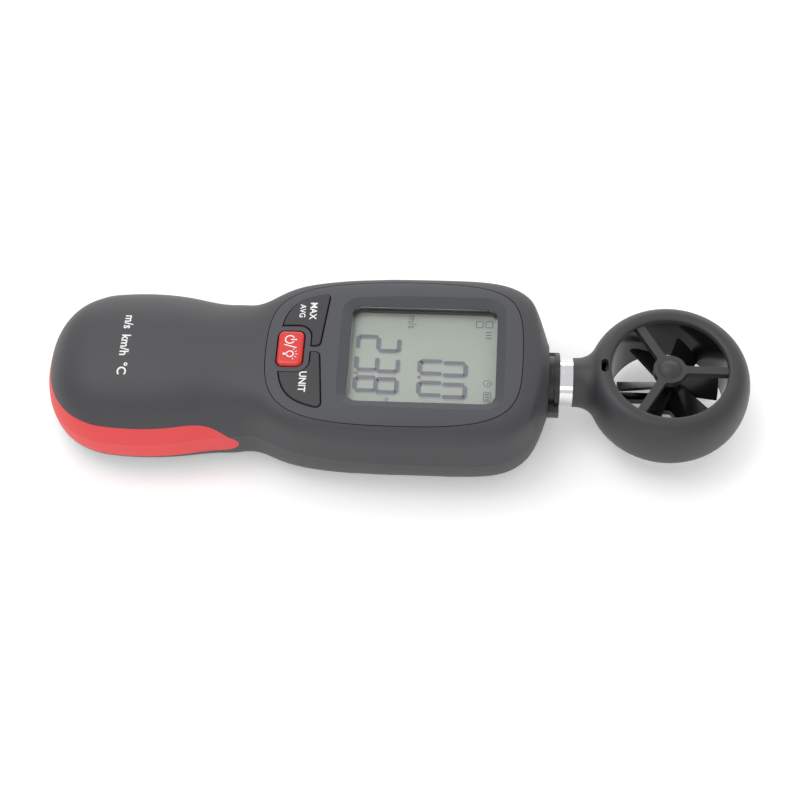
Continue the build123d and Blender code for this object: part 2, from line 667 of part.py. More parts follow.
def swivel_bush():
    """The fixed bearing of the swivel, with the stop that the lug comes up against."""
    bush = axle(BUSH_INNER_X, 0, BUSH_RADIUS) + axle(-1.15, 0, BUSH_RADIUS + 0.75)
    half = 180 - STOP_ANGLE - LUG_HALF_ANGLE
    stop = axle(RING_X - COLLAR_RING_LENGTH + 0.2, BUSH_INNER_X, BUSH_RADIUS) & wedge(180, half)
    bush += stop - axle(RING_X - 10, 0, SPINDLE_RADIUS + 1.1)
    bush -= axle(BUSH_INNER_X - 10, 1, SPINDLE_RADIUS + RUNNING_GAP)
    bush -= axle(-2 * O_RING_WIRE - 0.1, 0, SPINDLE_RADIUS + 2 * O_RING_WIRE + 0.15)
    return one(bush)


def wedge(angle, half_angle):
    """A sector about the swivel axis, centred on an angle measured from straight up."""
    reach = 30.0
    low, high = radians(angle - half_angle), radians(angle + half_angle)
    middle = radians(angle)
    points = [(0, 0)] + [(reach * sin(a), reach * cos(a)) for a in (low, middle, high)]
    face = Plane.YZ * make_face(Polyline(*points, close=True))
    return extrude(face, amount=60, both=True)


def o_ring():
    ring = Torus(SPINDLE_RADIUS + O_RING_WIRE + 0.1, O_RING_WIRE)
    return one(Pos(-O_RING_WIRE - 0.05, 0, 0) * Rot(0, 90, 0) * ring)


def swivel_spindle():
    tube = axle(SPINDLE_LEFT, SPINDLE_RIGHT, SPINDLE_RADIUS)
    tube += axle(SWIVEL_GAP + 2.0, SWIVEL_GAP + 4.0, SPINDLE_RADIUS + 1.2)
    tube -= axle(CLIP_X - CLIP_THICKNESS, CLIP_X, 30) - axle(-60, 0, SPINDLE_RADIUS - 0.5)
    return one(tube - axle(-60, 60, SPINDLE_BORE))


def swivel_sleeve():
    sleeve = axle(FACE_GAP, SWIVEL_GAP + 2.0, SLEEVE_RADIUS)
    sleeve -= axle(FACE_GAP + 0.7, FACE_GAP + 1.0, 30) - axle(-60, 60, SLEEVE_RADIUS - 0.35)
    return one(sleeve - axle(-60, 60, SPINDLE_RADIUS))


def stop_ring():
    """Fixed on the spindle: its lug meets the bush's stop at both ends of the swivel."""
    ring = axle(CLIP_X, RING_X, SPINDLE_RADIUS + 0.8)
    ring += axle(CLIP_X, RING_X, STOP_RADIUS) & wedge(0, LUG_HALF_ANGLE)
    return one(ring - axle(-60, 60, SPINDLE_RADIUS))


def retaining_clip():
    clip = axle(CLIP_X - CLIP_THICKNESS, CLIP_X, SPINDLE_RADIUS + 1.0)
    clip -= axle(-60, 60, SPINDLE_RADIUS - 0.5)
    return one(clip - slab(-60, 60, -1.2, 1.2, 0, 10))


# ---- head

def about_head(shape):
    return Pos(HEAD_X, 0, 0) * shape


def ring_profile(inset=0.0):
    """The ring's section: a rounded crest by the bore that falls away to the outside."""
    low, high, top = BORE_RADIUS, RING_RADIUS - inset, RING_TOP - inset
    crest = BORE_RADIUS + 1.6
    with BuildLine(Plane.XZ) as line:
        for side in (1, -1):
            Line((low, 0), (low, side * (top - 0.9)))
            Bezier((low, side * (top - 0.9)), (low, side * top), (low + 0.9, side * top), (crest, side * top))
            Bezier((crest, side * top), (high - 1.6, side * top), (high, side * top * 0.6), (high, 0))
    return line


def ring_solid(inset=0.0):
    return revolve(make_face(ring_profile(inset).line), Axis.Z, 360)


def neck_section(x, w, h):

    def curve(*places):
        return Edge.make_bezier(*[Vector(x, y, z) for y, z in places])

    corners = [(1, 1), (-1, 1), (-1, -1), (1, -1)]
    edges = []
    for i, (sy, sz) in enumerate(corners):
        side = [(sy * w, 0), (sy * w, sz * ROUND * h), (sy * ROUND * w, sz * h), (0, sz * h)]
        edges.append(curve(*(side if i % 2 == 0 else side[::-1])))
    return Wire(edges)


def neck(inset=0.0):
    """The round neck that opens out into the ring."""
    last = HEAD_REACH - BORE_RADIUS - 0.8
    flare = [(0.0, 0.0, 0.0), (0.24, 0.15, 0.05), (0.48, 1.15, 0.35), (0.74, 3.6, 0.75), (1.0, 7.0, 1.1)]
    stations = [(last * share, NECK_RADIUS + wider, NECK_RADIUS + taller) for share, wider, taller in flare]
    first = inset
    return Solid.make_loft([neck_section(SWIVEL_GAP + max(d, first), w - inset, h - inset)
                            for d, w, h in stations])


BORE = about_head(rod(0, 0, -30, 30, BORE_RADIUS))
HEAD_OUTER = one(about_head(ring_solid()) + neck())
NECK_SEAM = [edge for edge in HEAD_OUTER.edges() if edge.bounding_box().min.X > SWIVEL_GAP + 1
             and edge.bounding_box().max.X < HEAD_X - BORE_RADIUS + 0.5]
HEAD_OUTER = HEAD_OUTER.fillet(NECK_FILLET, NECK_SEAM) - BORE
DUCT_OUTER = BORE_RADIUS + DUCT_WALL
DUCT_HALF = RING_TOP - HEAD_WALL
HEAD_HOLLOW = (about_head(ring_solid(HEAD_WALL)) + neck(HEAD_WALL))
SPINDLE_SEAT = axle(SWIVEL_GAP - 1, SWIVEL_GAP + 2.0, SLEEVE_RADIUS + THREAD_GAP)
SPINDLE_SEAT += axle(SWIVEL_GAP + 2.0, SWIVEL_GAP + 4.0, SPINDLE_RADIUS + 1.2)
SPINDLE_SEAT += axle(SWIVEL_GAP, SPINDLE_RIGHT + 1.0, SPINDLE_RADIUS)
HEAD_SCREW_ANGLES = (60, 150, 210, 300)
HEAD_SCREW_RADIUS = 0.8
HEAD_POST_RADIUS = 1.45
HEAD_POST_CIRCLE = DUCT_OUTER + HEAD_POST_RADIUS + 0.15


def head_posts():
    return [(HEAD_X + HEAD_POST_CIRCLE * cos(radians(a)), HEAD_POST_CIRCLE * sin(radians(a)))
            for a in HEAD_SCREW_ANGLES]


def spider_arms(z_low, z_high, turn, grow=0.0):
    """Three spokes from the middle out into their notches in the rim."""
    arms = Part()
    reach = BORE_RADIUS + SPOKE_SEAT + grow
    half = SPOKE_WIDTH / 2 + grow
    for spoke in range(3):
        arm = slab(0, reach, -half, half, z_low - grow, z_high + grow)
        arms += Rot(0, 0, turn + 120 * spoke) * arm
    return about_head(arms)


SPIDER_TOP = RING_TOP - SPOKE_DROP
SPIDER_LOW = SPIDER_TOP - SPOKE_THICKNESS
FRONT_NOTCHES = spider_arms(SPIDER_LOW, SPIDER_TOP, 0, 0.02)
REAR_NOTCHES = spider_arms(-SPIDER_TOP, -SPIDER_LOW, 60, 0.02)


def duct_ring():
    """The smooth liner of the air duct, clamped between the two halves of the head."""
    duct = rod(0, 0, -DUCT_HALF, DUCT_HALF, DUCT_OUTER) - rod(0, 0, -20, 20, BORE_RADIUS)
    duct = about_head(duct) - FRONT_NOTCHES - REAR_NOTCHES
    return one(duct)


def head_shell(side):
    """The front (side 1) or back (side -1) half of the head."""
    half = UPPER if side > 0 else LOWER
    shell = HEAD_OUTER - (HEAD_HOLLOW - about_head(rod(0, 0, -30, 30, BORE_RADIUS)))
    shell -= about_head(rod(0, 0, -DUCT_HALF, DUCT_HALF, DUCT_OUTER + 0.02))
    block = axle(SWIVEL_GAP + 0.5, SWIVEL_GAP + NECK_BLOCK, SPINDLE_RADIUS + 2.2)
    shell += block & HEAD_OUTER
    for x, y in head_posts():
        shell += rod(x, y, -RING_TOP, RING_TOP, HEAD_POST_RADIUS) & HEAD_OUTER
    shell = shell & half
    shell -= SPINDLE_SEAT
    shell -= FRONT_NOTCHES if side > 0 else REAR_NOTCHES
    for x, y in head_posts():
        if side > 0:
            shell -= rod(x, y, -1, HEAD_SCREW_TOP + 0.3, HEAD_SCREW_RADIUS + THREAD_GAP)
        else:
            shell -= rod(x, y, -30, HEAD_SCREW_SEAT, HEAD_SCREW_RADIUS + 0.6)
            shell -= rod(x, y, HEAD_SCREW_SEAT, 1, HEAD_SCREW_RADIUS + SCREW_GAP)
    if side > 0:
        shell -= prism(vent_outline(), 1.0, RING_TOP + 5)
    return one(shell)


HEAD_SCREW_SEAT = -RING_TOP + 2.6
HEAD_SCREW_TOP = 4.4


def vent_outline(grow=0.0):
    slot = Rot(0, 0, 90) * SlotOverall(VENT_LENGTH + 2 * grow, VENT_WIDTH + 2 * grow)
    return Pos(VENT_X, 0) * slot


def head_screws():
    screws = []
    for x, y in head_posts():
        screw = rod(x, y, HEAD_SCREW_SEAT, HEAD_SCREW_TOP, HEAD_SCREW_RADIUS)
        screw += rod(x, y, HEAD_SCREW_SEAT - 0.8, HEAD_SCREW_SEAT, HEAD_SCREW_RADIUS + 0.5)
        screw -= slab(x - 0.9, x + 0.9, y - 0.15, y + 0.15, HEAD_SCREW_SEAT - 0.8, HEAD_SCREW_SEAT - 0.4)
        screws.append(one(screw))
    return Compound(children=screws)


def spider(side):
    """Hub and three spokes across the duct; the hub holds a bearing for the shaft."""
    z_low, z_high = sorted((side * SPIDER_LOW, side * SPIDER_TOP))
    turn = 0 if side > 0 else 60
    body = spider_arms(z_low, z_high, turn) + about_head(rod(0, 0, z_low, z_high, HUB_RADIUS))
    body = body.fillet(1.0, [edge for edge in body.edges().filter_by(Axis.Z)
                             if abs(edge.center().X - HEAD_X) < HUB_RADIUS + 1
                             and abs(edge.center().Y) < HUB_RADIUS + 1])
    inner = side * (SPIDER_LOW - 1.2)
    low, high = sorted((inner, side * SPIDER_LOW))
    body += about_head(rod(0, 0, low, high, BEARING_RADIUS + 1.0))
    if side > 0:
        cap = Pos(HEAD_X, 0, z_high - 1.2) * scale(Sphere(CAP_RADIUS), (1, 1, 0.7))
        body += cap & slab(0, 60, -20, 20, z_high - 0.1, z_high + 10)
    seat_low, seat_high = sorted((inner - side, side * (SPIDER_LOW + 0.8)))
    body -= about_head(rod(0, 0, seat_low, seat_high, BEARING_RADIUS))
    return one(body)


def cup_bearing(side):
    """A bearing with a blind hole for the shaft's end."""
    low, high = sorted((side * (SPIDER_LOW - 1.2), side * (SPIDER_LOW + 0.8)))
    hole_low, hole_high = sorted((side * (SPIDER_LOW - 2.2), side * (SPIDER_LOW + 0.4)))
    cup = rod(0, 0, low, high, BEARING_RADIUS) - rod(0, 0, hole_low, hole_high, SHAFT_RADIUS + RUNNING_GAP)
    return one(about_head(cup))


def impeller_shaft():
    end = SPIDER_LOW + 0.4 - RUNNING_GAP
    return one(about_head(rod(0, 0, -end, end, SHAFT_RADIUS)))


def impeller():
    """A hub and six flat blades, each set at the same pitch to the air."""
    wheel = rod(0, 0, -IMPELLER_HUB_HALF, IMPELLER_HUB_HALF, IMPELLER_HUB_RADIUS)
    start = IMPELLER_HUB_RADIUS - 0.6
    blade_sketch = make_face(Polyline(
        (start, -BLADE_ROOT_CHORD / 2), (BLADE_TIP_RADIUS, -BLADE_TIP_CHORD / 2),
        (BLADE_TIP_RADIUS, BLADE_TIP_CHORD / 2), (start, BLADE_ROOT_CHORD / 2), close=True))
    blade = extrude(blade_sketch, amount=BLADE_THICKNESS / 2, both=True)
    blade = Rot(BLADE_PITCH, 0, 0) * blade
    for step in range(BLADE_COUNT):
        wheel += Rot(0, 0, BLADE_START + step * 360 / BLADE_COUNT) * blade
    wheel &= rod(0, 0, -10, 10, BLADE_TIP_RADIUS)
    wheel -= rod(0, 0, -10, 10, SHAFT_RADIUS)
    return one(about_head(wheel))


def rotor_magnet():
    top = -IMPELLER_HUB_HALF
    ring = rod(0, 0, top - 1.0, top, IMPELLER_HUB_RADIUS - 0.5) - rod(0, 0, -10, 10, SHAFT_RADIUS)
    return one(about_head(ring))


PICKUP_LEFT = SWIVEL_GAP + NECK_BLOCK
PICKUP_RIGHT = PICKUP_LEFT + 1.0
BEAD_RADIUS = 0.7
BEAD_X = PICKUP_RIGHT + BEAD_RADIUS + 0.1
BEAD_Z = 2.6


def pickup_board():
    return one(slab(PICKUP_LEFT, PICKUP_RIGHT, -3.6, 3.6, -3.4, 3.4))


def pickup_chip():
    return one(slab(PICKUP_RIGHT, PICKUP_RIGHT + 0.7, -1.6, 1.6, -2.6, 0.2))


def thermistor():
    """The temperature bead under the slot in the head's front, on its two leads."""
    bead = Pos(BEAD_X, 0, BEAD_Z) * Sphere(BEAD_RADIUS)
    for side in (1, -1):
        y = side * 0.35
        bead += slab(PICKUP_RIGHT, BEAD_X, y - 0.12, y + 0.12, BEAD_Z - 0.12, BEAD_Z + 0.12)
    return one(bead)


def main():
    os.makedirs("parts", exist_ok=True)
    save("front_shell", front_shell())
    save("back_cover", back_cover())
    save("side_trim", side_trim())
    save("faceplate", faceplate())
    save("display_window", display_window())
    save("lcd_panel", one(prism(glass_outline(), GLASS_BOTTOM_Z, GLASS_TOP_Z)))
    save("backlight", backlight())
    save("zebra_strips", zebra_strips())
    save("main_board", main_board())
    save("main_chip", main_chip())
    save("key_switches", key_switches())
    save("board_screws", board_screws())
    save("case_screws", case_screws())
    save("battery_door", battery_door())
    save("door_screw", door_screw())
    save("battery_cells", battery_cells())
    save("battery_contacts", battery_contacts())
    save("battery_springs", battery_springs())
    save("swivel_bush", swivel_bush())
    save("o_ring", o_ring())
    save("swivel_spindle", swivel_spindle())
    save("swivel_sleeve", swivel_sleeve())
    save("stop_ring", stop_ring())
    save("retaining_clip", retaining_clip())
    save("head_front_shell", head_shell(1))
    save("head_back_shell", head_shell(-1))
    save("duct_ring", duct_ring())
    save("front_spider", spider(1))
    save("rear_spider", spider(-1))
    save("front_bearing", cup_bearing(1))
    save("rear_bearing", cup_bearing(-1))
    save("head_screws", head_screws())
    save("pickup_board", pickup_board())
    save("pickup_chip", pickup_chip())
    save("thermistor", thermistor())
    save("impeller", impeller())
    save("impeller_shaft", impeller_shaft())
    save("rotor_magnet", rotor_magnet())
    save("power_key", power_key())
    save("max_key", big_key(1))
    save("unit_key", big_key(-1))
    for name in SWITCH_PLACES:
        save(f"{name}_plunger", plunger(name))


main()
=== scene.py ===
# %% [markdown]
# # A pocket vane anemometer
#
# The instrument is a moulded handheld meter: two charcoal plastic shells with a soft red
# bumper round the handle, a faceplate with three keys and a liquid crystal display, and a
# round head with a free-running impeller that swivels on a chromed neck. The shells, keys,
# screws and impeller already exist as an exact CAD model. This lesson dresses that model:
# it gives every part a finish and models what CAD left out, such as the printed legends,
# the digits in the glass and the polished lens over them.
#
# The first cell loads the CAD model as a fixed frame. Nothing in it is moved: new pieces
# are placed against its boxes.

from math import cos, pi, radians, sin

import bpy
from mathutils import Matrix, Vector


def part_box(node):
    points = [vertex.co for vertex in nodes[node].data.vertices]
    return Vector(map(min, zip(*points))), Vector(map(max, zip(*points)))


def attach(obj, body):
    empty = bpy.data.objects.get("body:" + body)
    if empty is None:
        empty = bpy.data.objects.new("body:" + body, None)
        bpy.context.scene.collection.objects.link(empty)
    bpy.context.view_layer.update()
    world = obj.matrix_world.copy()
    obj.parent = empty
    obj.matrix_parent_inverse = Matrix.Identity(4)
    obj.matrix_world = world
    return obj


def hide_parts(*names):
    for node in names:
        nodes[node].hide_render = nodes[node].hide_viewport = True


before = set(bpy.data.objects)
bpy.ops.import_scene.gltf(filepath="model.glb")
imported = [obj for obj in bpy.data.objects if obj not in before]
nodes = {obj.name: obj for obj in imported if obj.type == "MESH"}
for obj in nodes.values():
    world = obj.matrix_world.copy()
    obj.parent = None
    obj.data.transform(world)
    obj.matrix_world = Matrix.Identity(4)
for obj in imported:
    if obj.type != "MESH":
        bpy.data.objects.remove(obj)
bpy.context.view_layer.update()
MM = 0.001

collar_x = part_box("back_cover")[1].x
axis_z = (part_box("swivel_spindle")[0].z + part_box("swivel_spindle")[1].z) / 2
print("nodes:", len(nodes), " collar face at x =", round(collar_x / MM, 2), "mm")


# %% [markdown]
# ## The workbench
#
# Blender's operators act on whatever is selected, and loading the CAD model leaves all of
# it selected. So every modelling step starts from a clean selection. These small helpers
# do that: one deselects and picks a single object, one applies a modifier, one selects
# faces, edges or points of the active mesh by a rule about their place.

# %% Helpers for selecting and applying
def only(piece):
    """Make one object the only selected and the active one."""
    for other in list(bpy.context.selected_objects):
        other.select_set(False)
    piece.select_set(True)
    bpy.context.view_layer.objects.active = piece
    return piece


def clear_selection():
    for other in list(bpy.context.selected_objects):
        other.select_set(False)


def edit(piece, mode="VERT"):
    only(piece)
    bpy.ops.object.mode_set(mode="EDIT")
    bpy.ops.mesh.select_mode(type=mode)


def done():
    bpy.ops.object.mode_set(mode="OBJECT")


def pick(piece, kind, rule):
    """Select the mesh's vertices, edges or polygons whose middle passes the rule."""
    bpy.ops.object.mode_set(mode="OBJECT")
    mesh = piece.data
    for group in (mesh.vertices, mesh.edges, mesh.polygons):
        for item in group:
            item.select = False
    for item in getattr(mesh, kind):
        if kind == "vertices":
            middle = item.co
        elif kind == "edges":
            middle = (mesh.vertices[item.vertices[0]].co + mesh.vertices[item.vertices[1]].co) / 2
        else:
            middle = item.center
        if rule(item, middle):
            item.select = True
    bpy.ops.object.mode_set(mode="EDIT")


def finish_with(piece, kind, **settings):
    """Add a modifier with these settings and apply it."""
    only(piece)
    modifier = piece.modifiers.new(kind.title(), kind)
    for name, value in settings.items():
        setattr(modifier, name, value)
    bpy.ops.object.modifier_apply(modifier=modifier.name)


def settle(piece, name):
    """Put the object's place into its mesh, so that it sits at the origin."""
    only(piece)
    piece.name = name
    piece.data.name = name
    bpy.ops.object.transform_apply(location=True, rotation=True, scale=True)
    return piece


def smooth_by_angle(piece, degrees=35):
    only(piece)
    bpy.ops.object.shade_smooth_by_angle(angle=radians(degrees))


def join(pieces, name):
    clear_selection()
    for piece in pieces:
        piece.select_set(True)
    bpy.context.view_layer.objects.active = pieces[0]
    bpy.ops.object.join()
    return settle(bpy.context.view_layer.objects.active, name)


# %% [markdown]
# ## The camera
#
# A slim object is shown with a long lens from about half a metre away, so that its far
# edge is hardly smaller than its near one.
# The camera stands on the near side, looks down at an angle of nearly 57 degrees, and is
# turned and rolled a few degrees, which makes the instrument lie slightly skewed.
# Building the camera's axes from yaw, pitch and roll is clearer than three Euler angles.

# %% Camera
YAW, PITCH, ROLL = -0.103, 0.992, -0.056
LENS = 83.55
camera_place = Vector((collar_x - 13.57 * MM, -261.36 * MM, axis_z + 391.54 * MM))

forward = Vector((sin(YAW) * cos(PITCH), cos(YAW) * cos(PITCH), -sin(PITCH)))
level = Vector((cos(YAW), -sin(YAW), 0.0))
upward = level.cross(forward)
right = level * cos(ROLL) + upward * sin(ROLL)
upright = upward * cos(ROLL) - level * sin(ROLL)

camera_data = bpy.data.cameras.new("camera")
camera_data.lens = LENS
camera_data.sensor_width = 36.0
camera_data.clip_start = 0.01
camera_data.clip_end = 20.0
camera = bpy.data.objects.new("camera", camera_data)
bpy.context.scene.collection.objects.link(camera)
camera.matrix_world = Matrix.Translation(camera_place) @ Matrix(
    (right, upright, -forward)).transposed().to_4x4()
bpy.context.scene.camera = camera
print("camera", [round(value / MM) for value in camera_place], "mm, lens", LENS)


# %% [markdown]
# ## The table and the lights
#
# Catalogue pictures of dark plastic are lit with large soft boxes over a white table, so
# that dark surfaces pick up broad pale reflections and their edges fade into the white.
# A white floor, a white sky and a few big area lights do the same. The floor also glows
# faintly, which keeps it white. The standard view keeps the colours as they are set.

# %% Floor, sky and lights
view = bpy.context.scene.view_settings
view.view_transform = "Standard"
view.look = "None"
view.exposure = 0.0

bpy.ops.object.select_all(action="DESELECT")
bpy.ops.mesh.primitive_plane_add(size=6.0, location=(0, 0, 0))
floor = settle(bpy.context.object, "table_top")

floor_paint = bpy.data.materials.new("white_table")
floor_paint.use_nodes = True
floor_shader = floor_paint.node_tree.nodes["Principled BSDF"]
floor_shader.inputs["Base Color"].default_value = (0.94, 0.94, 0.94, 1)
floor_shader.inputs["Roughness"].default_value = 0.8
floor_shader.inputs["Specular IOR Level"].default_value = 0.2
floor_shader.inputs["Emission Color"].default_value = (1.0, 1.0, 1.0, 1)
floor_shader.inputs["Emission Strength"].default_value = 0.22
floor.data.materials.append(floor_paint)

sky = bpy.data.worlds.new("white_studio")
sky.use_nodes = True
sky.node_tree.nodes["Background"].inputs["Color"].default_value = (1.0, 1.0, 1.0, 1)
sky.node_tree.nodes["Background"].inputs["Strength"].default_value = 0.80
bpy.context.scene.world = sky


def soft_box(name, place, target, size, power):
    """A square area light that faces a point on the instrument."""
    data = bpy.data.lights.new(name, "AREA")
    data.shape = "RECTANGLE"
    data.size, data.size_y = size
    data.energy = power
    lamp = bpy.data.objects.new(name, data)
    bpy.context.scene.collection.objects.link(lamp)
    lamp.location = place
    lamp.rotation_euler = (Vector(target) - Vector(place)).to_track_quat("-Z", "Y").to_euler()
    return lamp


soft_box("over_key", (-0.25, 0.15, 0.75), (0, 0, 0), (0.55, 0.40), 1.7)
soft_box("back_rim", (0.05, 0.85, 0.30), (0, 0, 0.01), (1.20, 0.35), 2.2)
soft_box("near_fill", (-0.10, -0.75, 0.40), (0, 0, 0), (0.60, 0.25), 0.6)


# %% [markdown]
# ## What moulded plastic looks like close up
#
# Injection moulds for such housings are spark eroded, which leaves a very fine, even
# grain: at arm's length it only makes the gloss soft. Handling adds slow changes of gloss.
# The colour is made a little darker in the hollows of the grain and lighter on its tops,
# and it drifts slowly at random. Several finishes share this, so it is made once as a node
# group with named inputs. It puts out a colour, a roughness and a height, and each
# material feeds those to its own shader.

# %% Node group: moulded grain
def new_group(name, inputs, outputs):
    group = bpy.data.node_groups.new(name, "ShaderNodeTree")
    for title, kind, value in inputs:
        socket = group.interface.new_socket(title, in_out="INPUT", socket_type=kind)
        if value is not None:
            socket.default_value = value
    for title, kind in outputs:
        group.interface.new_socket(title, in_out="OUTPUT", socket_type=kind)
    start = group.nodes.new("NodeGroupInput")
    end = group.nodes.new("NodeGroupOutput")
    return group, start, end


def node(tree, kind, **settings):
    made = tree.nodes.new(kind)
    for name, value in settings.items():
        setattr(made, name, value)
    return made


FLOAT, COLOUR, VECTOR = "NodeSocketFloat", "NodeSocketColor", "NodeSocketVector"

grain_group, grain_in, grain_out = new_group(
    "moulded_grain",
    [("Place", VECTOR, None), ("Colour", COLOUR, (0.05, 0.05, 0.05, 1)),
     ("Mottle", FLOAT, 0.06), ("Grain per metre", FLOAT, 5000.0), ("Grain depth", FLOAT, 1.0),
     ("Roughness", FLOAT, 0.5), ("Gloss change", FLOAT, 0.06)],
    [("Colour", COLOUR), ("Roughness", FLOAT), ("Height", FLOAT)])
tree = grain_group
links = tree.links
fine = node(tree, "ShaderNodeTexNoise")
fine.inputs["Detail"].default_value = 3.0
fine.inputs["Roughness"].default_value = 0.6
slow = node(tree, "ShaderNodeTexNoise")
slow.inputs["Scale"].default_value = 70.0
slow.inputs["Detail"].default_value = 4.0
links.new(grain_in.outputs["Place"], fine.inputs["Vector"])
links.new(grain_in.outputs["Place"], slow.inputs["Vector"])
links.new(grain_in.outputs["Grain per metre"], fine.inputs["Scale"])

around = node(tree, "ShaderNodeMath", operation="SUBTRACT")
links.new(slow.outputs["Fac"], around.inputs[0])
around.inputs[1].default_value = 0.5
change = node(tree, "ShaderNodeMath", operation="MULTIPLY_ADD")
links.new(around.outputs[0], change.inputs[0])
links.new(grain_in.outputs["Gloss change"], change.inputs[1])
links.new(grain_in.outputs["Roughness"], change.inputs[2])
links.new(change.outputs[0], grain_out.inputs["Roughness"])

# colour: a little darker in the hollows of the fine grain and lighter on its tops, with a slow
# random drift
grain_and_drift_tone = node(tree, "ShaderNodeMath", operation="ADD")
links.new(fine.outputs["Fac"], grain_and_drift_tone.inputs[0])
links.new(slow.outputs["Fac"], grain_and_drift_tone.inputs[1])
spread = node(tree, "ShaderNodeMath", operation="SUBTRACT")
links.new(grain_and_drift_tone.outputs[0], spread.inputs[0])
spread.inputs[1].default_value = 1.0
shade = node(tree, "ShaderNodeMath", operation="MULTIPLY_ADD")
links.new(spread.outputs[0], shade.inputs[0])
links.new(grain_in.outputs["Mottle"], shade.inputs[1])
shade.inputs[2].default_value = 1.0
tint = node(tree, "ShaderNodeVectorMath", operation="SCALE")
links.new(grain_in.outputs["Colour"], tint.inputs[0])
links.new(shade.outputs[0], tint.inputs["Scale"])
links.new(tint.outputs[0], grain_out.inputs["Colour"])
height = node(tree, "ShaderNodeMath", operation="MULTIPLY")
links.new(fine.outputs["Fac"], height.inputs[0])
links.new(grain_in.outputs["Grain depth"], height.inputs[1])
links.new(height.outputs[0], grain_out.inputs["Height"])
print("moulded_grain:", len(tree.nodes), "nodes")


# %% [markdown]
# ## Finishes
#
# Each finish is a material with the record's own slot name where there is one. A helper
# builds the common shape of them: object coordinates into the grain group, the group into
# the Principled shader, and its height into a bump. Only the numbers differ: the shells
# are matt charcoal, the faceplate a shade lighter and bluer, the bumper a soft red, the
# power key a glossy red, and the inner rotor a polished black.

# %% Moulded finishes
def grained(name, colour, rough, grain, depth, mottle=0.06, gloss_change=0.06,
            bump=0.25, reach=0.00002, **constants):
    """A moulded or painted material that uses the grain group."""
    made = bpy.data.materials.new(name)
    made.use_nodes = True
    tree = made.node_tree
    shader = tree.nodes["Principled BSDF"]
    place = tree.nodes.new("ShaderNodeTexCoord")
    group = tree.nodes.new("ShaderNodeGroup")
    group.node_tree = grain_group
    group.inputs["Colour"].default_value = (*colour, 1)
    group.inputs["Mottle"].default_value = mottle
    group.inputs["Grain per metre"].default_value = grain
    group.inputs["Grain depth"].default_value = depth
    group.inputs["Roughness"].default_value = rough
    group.inputs["Gloss change"].default_value = gloss_change
    raise_it = tree.nodes.new("ShaderNodeBump")
    raise_it.inputs["Strength"].default_value = bump
    raise_it.inputs["Distance"].default_value = reach
    tree.links.new(place.outputs["Object"], group.inputs["Place"])
    tree.links.new(group.outputs["Colour"], shader.inputs["Base Color"])
    tree.links.new(group.outputs["Roughness"], shader.inputs["Roughness"])
    tree.links.new(group.outputs["Height"], raise_it.inputs["Height"])
    tree.links.new(raise_it.outputs["Normal"], shader.inputs["Normal"])
    for title, value in constants.items():
        shader.inputs[title.replace("_", " ")].default_value = value
    return made


finish = {
    "body_plastic": grained("charcoal_shell", (0.046, 0.046, 0.050), 0.50, 4200, 1.0),
    "head_plastic": grained("charcoal_head", (0.033, 0.033, 0.036), 0.46, 4200, 1.0),
    "plate_plastic": grained("slate_faceplate", (0.058, 0.060, 0.070), 0.55, 5200, 0.8),
    "trim_rubber": grained("red_bumper", (0.74, 0.058, 0.060), 0.58, 3600, 0.8, mottle=0.04),
    "red_plastic": grained("red_key", (0.66, 0.018, 0.012), 0.28, 2500, 0.3, mottle=0.03,
                           Coat_Weight=0.5, Coat_Roughness=0.08),
    "black_gloss": grained("black_rotor", (0.008, 0.008, 0.009), 0.20, 1800, 0.4),
    "bush_plastic": grained("black_bush", (0.012, 0.012, 0.013), 0.40, 3000, 0.6),
    "o_ring_rubber": grained("ring_rubber", (0.010, 0.010, 0.010), 0.55, 4000, 0.8),
    "zebra_rubber": grained("connector_rubber", (0.14, 0.13, 0.13), 0.7, 3000, 0.8),
    "plunger_plastic": grained("switch_plunger", (0.02, 0.02, 0.02), 0.35, 3000, 0.4),
    "chip_black": grained("chip_case", (0.015, 0.015, 0.016), 0.55, 6000, 1.0),
    "magnet": grained("rotor_magnet_stone", (0.03, 0.03, 0.032), 0.5, 5000, 1.0),
    "light_guide": grained("light_guide", (0.80, 0.84, 0.80), 0.35, 1500, 0.2),
    "thermistor_glass": grained("thermistor_bead", (0.30, 0.12, 0.05), 0.15, 2000, 0.2),
}
print("moulded finishes:", len(finish))


# %% [markdown]
# ## Metals
#
# The sleeve on the neck is turned brass under bright chrome, and it shows fine rings from
# the lathe. Those rings run round the swivel axis, so they depend only on the place along
# it: a noise that is stretched across the other two directions draws them. Screws and
# contacts are plain nickel or zinc, a little rougher, with the same kind of fine noise.

